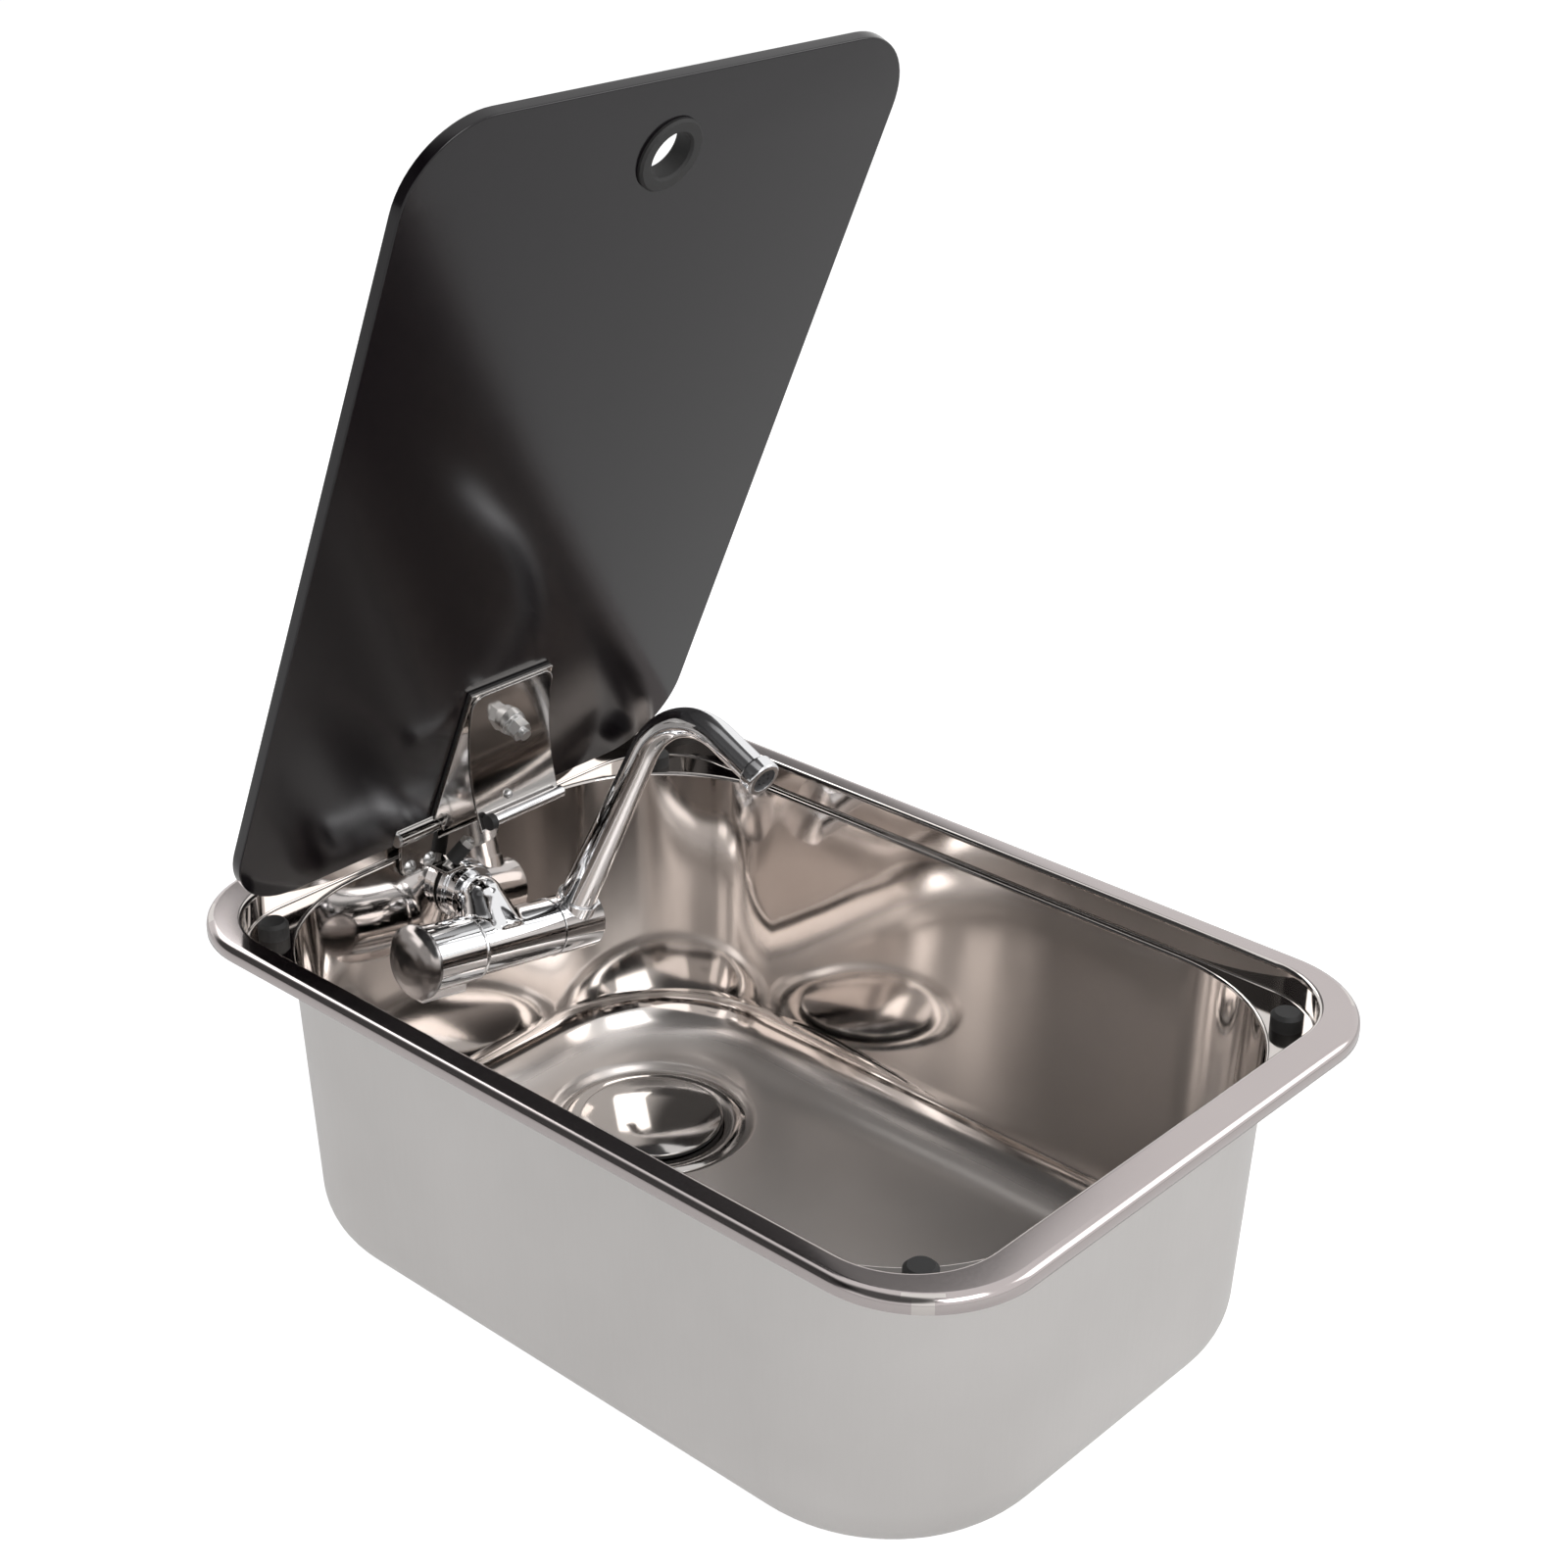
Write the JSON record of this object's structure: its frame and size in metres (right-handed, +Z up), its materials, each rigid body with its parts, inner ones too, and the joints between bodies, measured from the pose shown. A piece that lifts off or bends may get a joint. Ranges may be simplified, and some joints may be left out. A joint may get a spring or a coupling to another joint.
{
  "type": "caravan sink with glass lid",
  "caption": "Rectangular drop-in caravan sink bowl with a hinged dark glass lid, a folding spout, a rotary tap and an off-centre waste.",
  "frame": {"origin": "centre of the rim in plan, on the worktop's surface", "axes": "+Z up, -Y towards the user, the lid's hinge and the tap at +Y"},
  "size_m": [0.27, 0.4109, 0.5411],
  "materials": {
    "stainless": "satin outside and on the rim, mirror polished inside",
    "lid_glass": "near-black tinted toughened glass, polished",
    "black_rubber": "matt",
    "polished_steel": "polished",
    "fastener_steel": "zinc plated",
    "chrome_plate": "mirror",
    "bare_brass": "machined",
    "grey_plastic": "moulded",
    "dark_cap": "dark grey gloss"
  },
  "bodies": {
    "sink": {"basin": "stainless", "bracket_nuts": "fastener_steel", "bracket_screws": "fastener_steel", "buffer_nut": "fastener_steel", "buffer_screw": "fastener_steel", "buffer_sleeve": "black_rubber", "bumper_back_left": "black_rubber", "bumper_back_right": "black_rubber", "bumper_front_left": "black_rubber", "bumper_front_right": "black_rubber", "cartridge": "bare_brass", "cartridge_nut": "bare_brass", "hinge_bracket": "polished_steel", "hinge_nut": "fastener_steel", "hinge_pad": "black_rubber", "hinge_pin": "fastener_steel", "hinge_spring_washer": "fastener_steel", "hub_o_rings": "black_rubber", "hub_screw": "fastener_steel", "rim_seal": "black_rubber", "shank_gasket": "black_rubber", "shank_nut": "bare_brass", "shank_washer": "fastener_steel", "tap_body": "chrome_plate", "tap_shank": "chrome_plate", "union_nut": "chrome_plate", "waste_flange": "polished_steel", "waste_gasket": "black_rubber", "waste_nut": "grey_plastic", "waste_seal": "black_rubber", "waste_tail": "grey_plastic"},
    "lid": {"glass_lid": "lid_glass", "finger_grommet": "black_rubber", "leaf_pad": "black_rubber", "lid_leaf": "polished_steel", "stay_strip": "polished_steel", "stay_rod": "chrome_plate", "rod_bush": "black_rubber", "lid_bolt": "fastener_steel", "bolt_washers": "fastener_steel", "lid_bolt_nut": "fastener_steel", "bolt_seal": "black_rubber", "strip_stud": "fastener_steel"},
    "spout": {"spout_hub": "chrome_plate", "spout_tube": "chrome_plate", "aerator_housing": "chrome_plate", "aerator_insert": "grey_plastic", "hub_cap": "chrome_plate"},
    "handle": {"handle_sleeve": "chrome_plate", "handle_screw": "fastener_steel", "handle_cap": "dark_cap", "cartridge_stem": "bare_brass"},
    "plug": {"plug_disc": "polished_steel", "plug_seal": "black_rubber"}
  },
  "joints": [
    {"name": "lid_hinge", "type": "hinge", "parent": "sink", "child": "lid", "pos_m": [0, 0.1753, 0.0034], "axis": [1, 0, 0], "range_deg": [0, 66.8]},
    {"name": "spout_fold", "type": "hinge", "parent": "sink", "child": "spout", "pos_m": [-0.00286, 0.15, -0.04574], "axis": [0.9839, 0, -0.1788], "range_deg": [0, 66.8]},
    {"name": "knob_turn", "type": "hinge", "parent": "sink", "child": "handle", "pos_m": [-0.00286, 0.15, -0.04574], "axis": [-0.9839, 0, 0.1788], "range_deg": [0, 90]},
    {"name": "plug_lift", "type": "slide", "parent": "sink", "child": "plug", "axis": [0, 0, 1], "range_m": [0, 0.03]}
  ],
  "couplings": [
    {"joint": "spout_fold", "follows": "lid_hinge", "ratio": 1}
  ]
}
